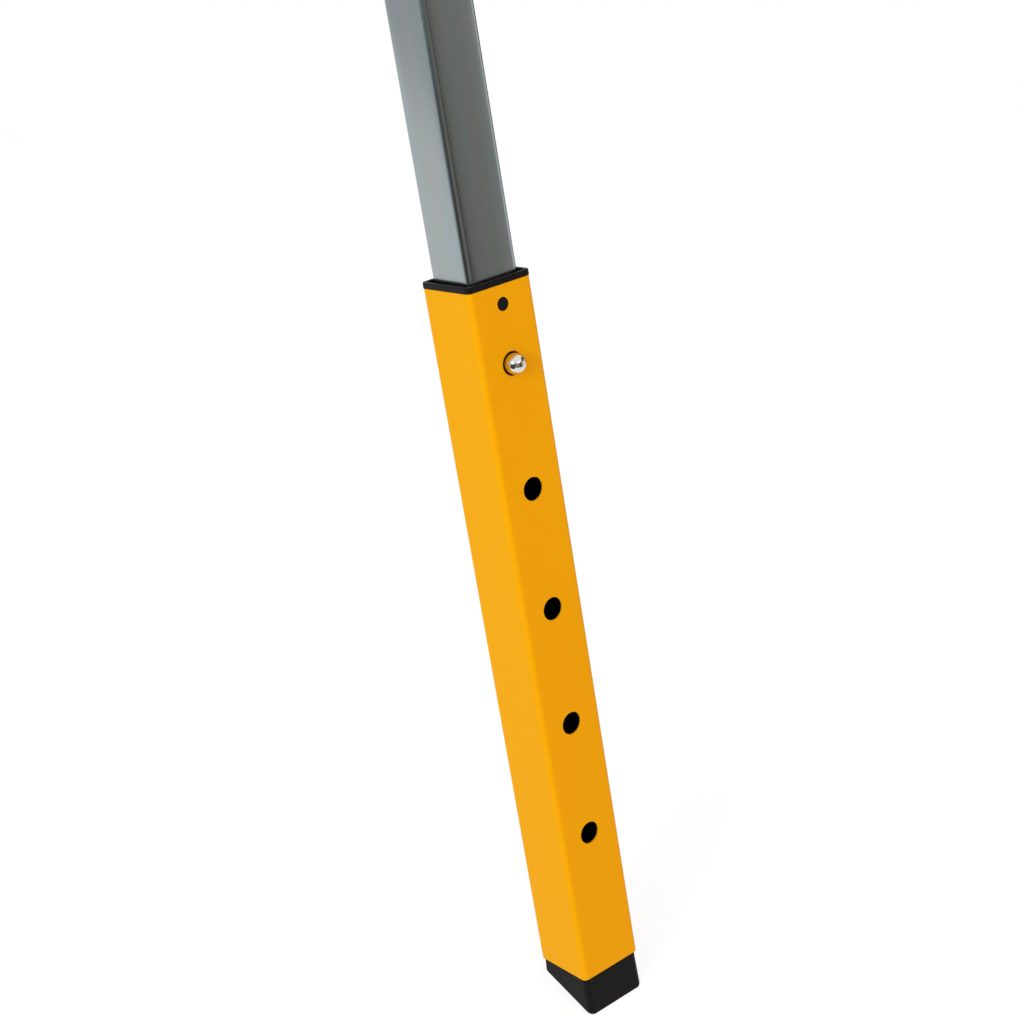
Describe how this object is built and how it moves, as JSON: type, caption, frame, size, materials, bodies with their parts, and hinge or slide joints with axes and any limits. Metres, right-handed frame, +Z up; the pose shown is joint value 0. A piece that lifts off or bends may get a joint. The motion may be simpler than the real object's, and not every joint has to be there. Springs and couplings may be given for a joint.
{
  "type": "builders trestle",
  "caption": "Folding builders trestle: a box beam on two hinged leg frames that nest, with telescopic sleeved legs set by snap buttons and held open by folding stays.",
  "frame": {"origin": "on the floor under the middle of the beam", "axes": "+Z up, +X along the beam, +Y from the front frame towards the rear frame"},
  "size_m": [1.008, 1.0972, 1.2772],
  "materials": {
    "yellow_powder_coat": "satin",
    "zinc_tube": "bright zinc plate",
    "zinc_plate": "bright zinc plate",
    "bright_nickel": "polished",
    "spring_steel": "oiled",
    "black_plastic": "moulded satin",
    "black_rubber": "moulded matt"
  },
  "bodies": {
    "beam": {"beam": "yellow_powder_coat", "pivot_bolts": "zinc_plate", "pivot_washers": "zinc_plate", "pivot_nuts": "zinc_plate", "beam_end_cap_left": "black_plastic", "beam_end_cap_right": "black_plastic", "hinge_bracket_front_left": "yellow_powder_coat", "hinge_bracket_front_right": "yellow_powder_coat", "hinge_bracket_rear_left": "yellow_powder_coat", "hinge_bracket_rear_right": "yellow_powder_coat"},
    "front_frame": {"upper_leg_front_left": "zinc_tube", "upper_leg_front_right": "zinc_tube", "leg_glide_front_left": "black_plastic", "leg_glide_front_right": "black_plastic", "button_spring_front_left": "spring_steel", "button_spring_front_right": "spring_steel", "stretcher_front": "zinc_tube", "stay_lugs_front": "zinc_plate", "stay_front_rivet_left": "zinc_plate", "stay_front_rivet_right": "zinc_plate"},
    "rear_frame": {"upper_leg_rear_left": "zinc_tube", "upper_leg_rear_right": "zinc_tube", "leg_glide_rear_left": "black_plastic", "leg_glide_rear_right": "black_plastic", "button_spring_rear_left": "spring_steel", "button_spring_rear_right": "spring_steel", "stretcher_rear": "zinc_tube", "stay_lugs_rear": "zinc_plate"},
    "stay_front_left": {"stay_front_link_left": "zinc_plate", "stay_knee_rivet_left": "zinc_plate"},
    "stay_rear_left": {"stay_rear_link_left": "zinc_plate", "stay_rear_rivet_left": "zinc_plate"},
    "stay_front_right": {"stay_front_link_right": "zinc_plate", "stay_knee_rivet_right": "zinc_plate"},
    "stay_rear_right": {"stay_rear_link_right": "zinc_plate", "stay_rear_rivet_right": "zinc_plate"},
    "sleeve_front_left": {"lower_sleeve_front_left": "yellow_powder_coat", "collar_bush_front_left": "black_plastic", "foot_front_left": "black_rubber"},
    "button_front_left": {"snap_button_front_left": "bright_nickel"},
    "sleeve_front_right": {"lower_sleeve_front_right": "yellow_powder_coat", "collar_bush_front_right": "black_plastic", "foot_front_right": "black_rubber"},
    "button_front_right": {"snap_button_front_right": "bright_nickel"},
    "sleeve_rear_left": {"lower_sleeve_rear_left": "yellow_powder_coat", "collar_bush_rear_left": "black_plastic", "foot_rear_left": "black_rubber"},
    "button_rear_left": {"snap_button_rear_left": "bright_nickel"},
    "sleeve_rear_right": {"lower_sleeve_rear_right": "yellow_powder_coat", "collar_bush_rear_right": "black_plastic", "foot_rear_right": "black_rubber"},
    "button_rear_right": {"snap_button_rear_right": "bright_nickel"}
  },
  "joints": [
    {"name": "front_fold", "type": "hinge", "parent": "beam", "child": "front_frame", "pos_m": [0, -0.032, 1.19642], "axis": [1, 0, 0], "range_deg": [0, 22.5]},
    {"name": "rear_fold", "type": "hinge", "parent": "beam", "child": "rear_frame", "pos_m": [0, 0.032, 1.19642], "axis": [-1, 0, 0], "range_deg": [0, 22.5]},
    {"name": "stay_front_left_swing", "type": "hinge", "parent": "front_frame", "child": "stay_front_left", "pos_m": [-0.2, -0.23628, 0.70326], "axis": [1, 0, 0], "range_deg": [0, 59.73]},
    {"name": "stay_rear_left_swing", "type": "hinge", "parent": "stay_front_left", "child": "stay_rear_left", "pos_m": [-0.2, 0, 0.70326], "axis": [-1, 0, 0], "range_deg": [0, 164.44]},
    {"name": "stay_front_right_swing", "type": "hinge", "parent": "front_frame", "child": "stay_front_right", "pos_m": [0.2, -0.23628, 0.70326], "axis": [1, 0, 0], "range_deg": [0, 59.73]},
    {"name": "stay_rear_right_swing", "type": "hinge", "parent": "stay_front_right", "child": "stay_rear_right", "pos_m": [0.2, 0, 0.70326], "axis": [-1, 0, 0], "range_deg": [0, 164.44]},
    {"name": "sleeve_front_left_slide", "type": "slide", "parent": "front_frame", "child": "sleeve_front_left", "axis": [0, 0.3827, 0.9239], "range_m": [0, 0.272], "deforming": ["snap_button_front_left"]},
    {"name": "button_front_left_press", "type": "slide", "parent": "front_frame", "child": "button_front_left", "axis": [0, 0.9239, -0.3827], "range_m": [0, 0.0093], "stiffness_N_per_m": 1500, "springref_m": -0.004, "deforming": ["button_spring_front_left"]},
    {"name": "sleeve_front_right_slide", "type": "slide", "parent": "front_frame", "child": "sleeve_front_right", "axis": [0, 0.3827, 0.9239], "range_m": [0, 0.272], "deforming": ["snap_button_front_right"]},
    {"name": "button_front_right_press", "type": "slide", "parent": "front_frame", "child": "button_front_right", "axis": [0, 0.9239, -0.3827], "range_m": [0, 0.0093], "stiffness_N_per_m": 1500, "springref_m": -0.004, "deforming": ["button_spring_front_right"]},
    {"name": "sleeve_rear_left_slide", "type": "slide", "parent": "rear_frame", "child": "sleeve_rear_left", "axis": [0, -0.3827, 0.9239], "range_m": [0, 0.272], "deforming": ["snap_button_rear_left"]},
    {"name": "button_rear_left_press", "type": "slide", "parent": "rear_frame", "child": "button_rear_left", "axis": [0, -0.9239, -0.3827], "range_m": [0, 0.0093], "stiffness_N_per_m": 1500, "springref_m": -0.004, "deforming": ["button_spring_rear_left"]},
    {"name": "sleeve_rear_right_slide", "type": "slide", "parent": "rear_frame", "child": "sleeve_rear_right", "axis": [0, -0.3827, 0.9239], "range_m": [0, 0.272], "deforming": ["snap_button_rear_right"]},
    {"name": "button_rear_right_press", "type": "slide", "parent": "rear_frame", "child": "button_rear_right", "axis": [0, -0.9239, -0.3827], "range_m": [0, 0.0093], "stiffness_N_per_m": 1500, "springref_m": -0.004, "deforming": ["button_spring_rear_right"]}
  ],
  "couplings": [
    {"joint": "rear_fold", "follows": "front_fold", "ratio": 1},
    {"joint": "stay_front_left_swing", "follows": "front_fold", "ratio": 2.6541},
    {"joint": "stay_rear_left_swing", "follows": "front_fold", "ratio": 7.3081},
    {"joint": "stay_front_right_swing", "follows": "front_fold", "ratio": 2.6541},
    {"joint": "stay_rear_right_swing", "follows": "front_fold", "ratio": 7.3081}
  ]
}
